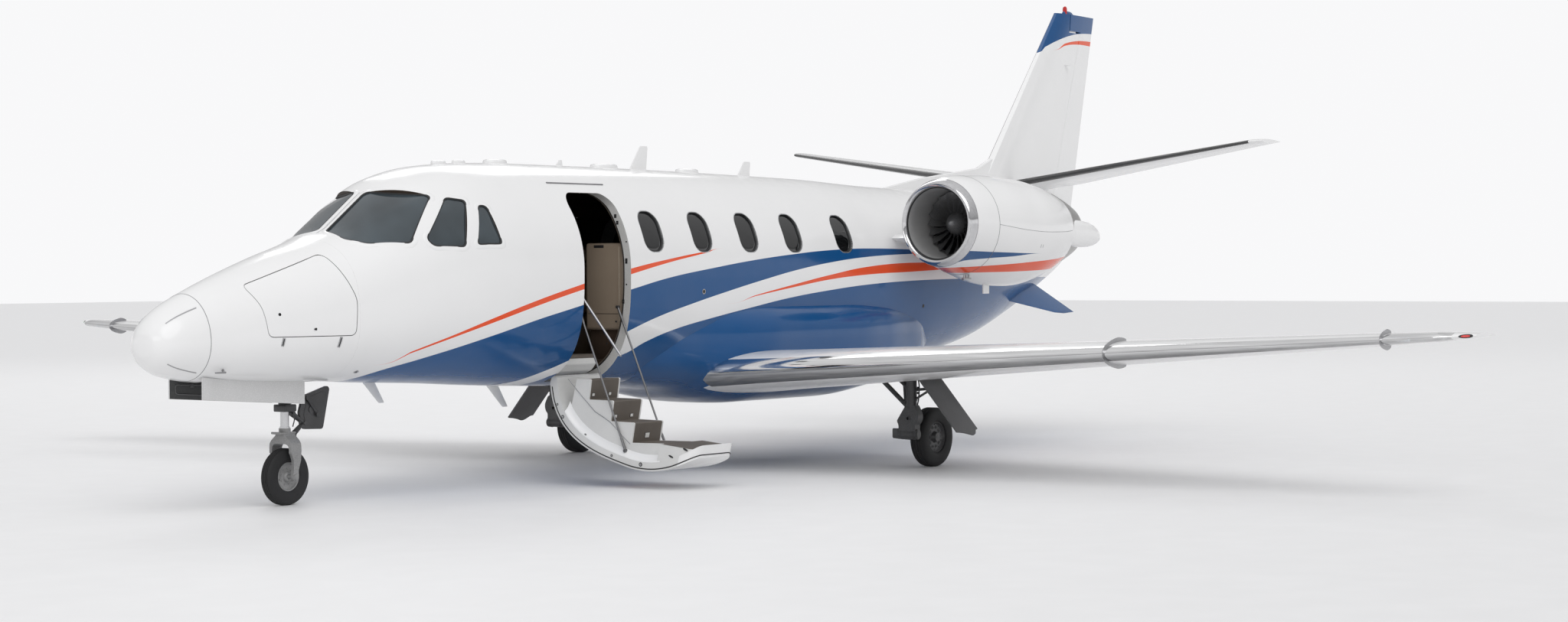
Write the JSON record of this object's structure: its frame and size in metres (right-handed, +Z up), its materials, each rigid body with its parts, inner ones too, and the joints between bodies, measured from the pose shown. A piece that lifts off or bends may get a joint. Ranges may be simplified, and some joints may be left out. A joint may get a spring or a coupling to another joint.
{
  "type": "business jet",
  "caption": "Twin-engined business jet on its wheels, with a straight tapered wing, rear pod engines, a lowered airstair and moving control surfaces.",
  "frame": {"origin": "on the ground under the middle of the aircraft's box", "axes": "+X towards the nose, +Y to port, +Z up"},
  "size_m": [15.6781, 17.17, 5.23],
  "materials": {
    "white_paint": "gloss",
    "polished_metal": "polished",
    "tyre": "matt",
    "rubber": "matt",
    "dark_grey_paint": "satin",
    "light_grey_paint": "satin",
    "glass": "gloss",
    "beige_trim": "matt",
    "brown_leather": "satin",
    "steel": "satin",
    "black_paint": "matt"
  },
  "bodies": {
    "airframe": {"radome": "white_paint", "nose_section": "white_paint", "cabin_shell": "white_paint", "belly_fairing": "white_paint", "wing_left": "white_paint", "wing_right": "white_paint", "tail_cone": "white_paint", "fin": "white_paint", "tailplane_left": "white_paint", "tailplane_right": "white_paint", "nacelle_left": "white_paint", "nacelle_right": "white_paint", "pylon_left": "white_paint", "pylon_right": "white_paint", "nose_gear_door_left": "white_paint", "nose_gear_door_right": "white_paint", "wing_edge_left": "polished_metal", "wing_edge_right": "polished_metal", "tailplane_boot_left": "rubber", "tailplane_boot_right": "rubber", "main_leg_left": "dark_grey_paint", "main_leg_right": "dark_grey_paint", "nose_leg": "light_grey_paint", "cockpit_glass": "glass", "cabin_glass_left": "glass", "cabin_glass_right": "glass", "cabin_floor": "beige_trim", "cabin_seats_left": "beige_trim", "cabin_seats_right": "beige_trim", "galley_cabinet": "beige_trim", "cockpit_seats": "brown_leather", "engine_left": "steel", "engine_right": "steel", "reverser_left": "steel", "reverser_right": "steel", "airstair_cable_front": "steel", "airstair_cable_back": "steel", "instrument_panel": "black_paint"},
    "nose_steering": {"nose_fork": "light_grey_paint"},
    "nose_wheel": {"nose_wheel": "light_grey_paint", "nose_tyre": "tyre"},
    "main_wheel_left": {"main_wheel_left": "light_grey_paint", "main_tyre_left": "tyre"},
    "main_wheel_right": {"main_wheel_right": "light_grey_paint", "main_tyre_right": "tyre"},
    "fan_left": {"fan_left": "steel"},
    "fan_right": {"fan_right": "steel"},
    "airstair": {"airstair": "white_paint"},
    "baggage_door_left": {"baggage_door_left": "white_paint"},
    "baggage_door_right": {"baggage_door_right": "white_paint"},
    "flap_left": {"flap_left": "white_paint"},
    "flap_right": {"flap_right": "white_paint"},
    "aileron_left": {"aileron_left": "white_paint"},
    "aileron_right": {"aileron_right": "white_paint"},
    "elevator_left": {"elevator_left": "white_paint"},
    "elevator_right": {"elevator_right": "white_paint"},
    "rudder": {"rudder": "white_paint"}
  },
  "joints": [
    {"name": "nose_steering", "type": "hinge", "parent": "airframe", "child": "nose_steering", "pos_m": [6.26, 0, 0.6], "axis": [0, 0, 1], "range_deg": [-60, 60]},
    {"name": "nose_wheel_roll", "type": "hinge", "parent": "nose_steering", "child": "nose_wheel", "pos_m": [6.26, 0, 0.24296], "axis": [0, 1, 0], "continuous": true},
    {"name": "main_wheel_left_roll", "type": "hinge", "parent": "airframe", "child": "main_wheel_left", "pos_m": [-0.41, 2.275, 0.29613], "axis": [0, 1, 0], "continuous": true},
    {"name": "main_wheel_right_roll", "type": "hinge", "parent": "airframe", "child": "main_wheel_right", "pos_m": [-0.41, -2.275, 0.29613], "axis": [0, 1, 0], "continuous": true},
    {"name": "fan_left_spin", "type": "hinge", "parent": "airframe", "child": "fan_left", "pos_m": [-2.03, 1.58, 2.46], "axis": [1, 0, 0], "continuous": true},
    {"name": "fan_right_spin", "type": "hinge", "parent": "airframe", "child": "fan_right", "pos_m": [-2.03, -1.58, 2.46], "axis": [1, 0, 0], "continuous": true},
    {"name": "airstair_hinge", "type": "hinge", "parent": "airframe", "child": "airstair", "pos_m": [3.085, 0.5, 0.925], "axis": [1, 0, 0], "range_deg": [0, 105], "deforming": ["airstair_cable_front", "airstair_cable_back"]},
    {"name": "baggage_door_left_hinge", "type": "hinge", "parent": "airframe", "child": "baggage_door_left", "pos_m": [6.18, 0.3594, 2.135], "axis": [0.9458, -0.1043, -0.3075], "range_deg": [0, 80]},
    {"name": "baggage_door_right_hinge", "type": "hinge", "parent": "airframe", "child": "baggage_door_right", "pos_m": [6.18, -0.3594, 2.135], "axis": [-0.9458, -0.1043, 0.3075], "range_deg": [0, 80]},
    {"name": "flap_left_hinge", "type": "hinge", "parent": "airframe", "child": "flap_left", "pos_m": [-0.7781, 1.34, 0.9495], "axis": [0.1963, 0.9786, 0.0624], "range_deg": [-35, 0]},
    {"name": "flap_right_hinge", "type": "hinge", "parent": "airframe", "child": "flap_right", "pos_m": [-0.7781, -1.34, 0.9495], "axis": [-0.1963, 0.9786, -0.0624], "range_deg": [-35, 0]},
    {"name": "aileron_left_hinge", "type": "hinge", "parent": "airframe", "child": "aileron_left", "pos_m": [0.003, 5.15, 1.1931], "axis": [0.1935, 0.9791, 0.0623], "range_deg": [-19, 19]},
    {"name": "aileron_right_hinge", "type": "hinge", "parent": "airframe", "child": "aileron_right", "pos_m": [0.003, -5.15, 1.1931], "axis": [-0.1935, 0.9791, -0.0623], "range_deg": [-19, 19]},
    {"name": "elevator_left_hinge", "type": "hinge", "parent": "airframe", "child": "elevator_left", "pos_m": [-6.5353, 0.25, 3.00825], "axis": [0.1129, 0.9839, 0.1387], "range_deg": [-15, 20]},
    {"name": "elevator_right_hinge", "type": "hinge", "parent": "airframe", "child": "elevator_right", "pos_m": [-6.5353, -0.25, 3.00825], "axis": [-0.1129, 0.9839, -0.1387], "range_deg": [-15, 20]},
    {"name": "rudder_hinge", "type": "hinge", "parent": "airframe", "child": "rudder", "pos_m": [-6.66, 0, 2.7], "axis": [-0.3387, 0, 0.9409], "range_deg": [-25, 25]}
  ],
  "couplings": [
    {"joint": "flap_right_hinge", "follows": "flap_left_hinge", "ratio": 1},
    {"joint": "aileron_right_hinge", "follows": "aileron_left_hinge", "ratio": -1},
    {"joint": "elevator_right_hinge", "follows": "elevator_left_hinge", "ratio": 1}
  ]
}
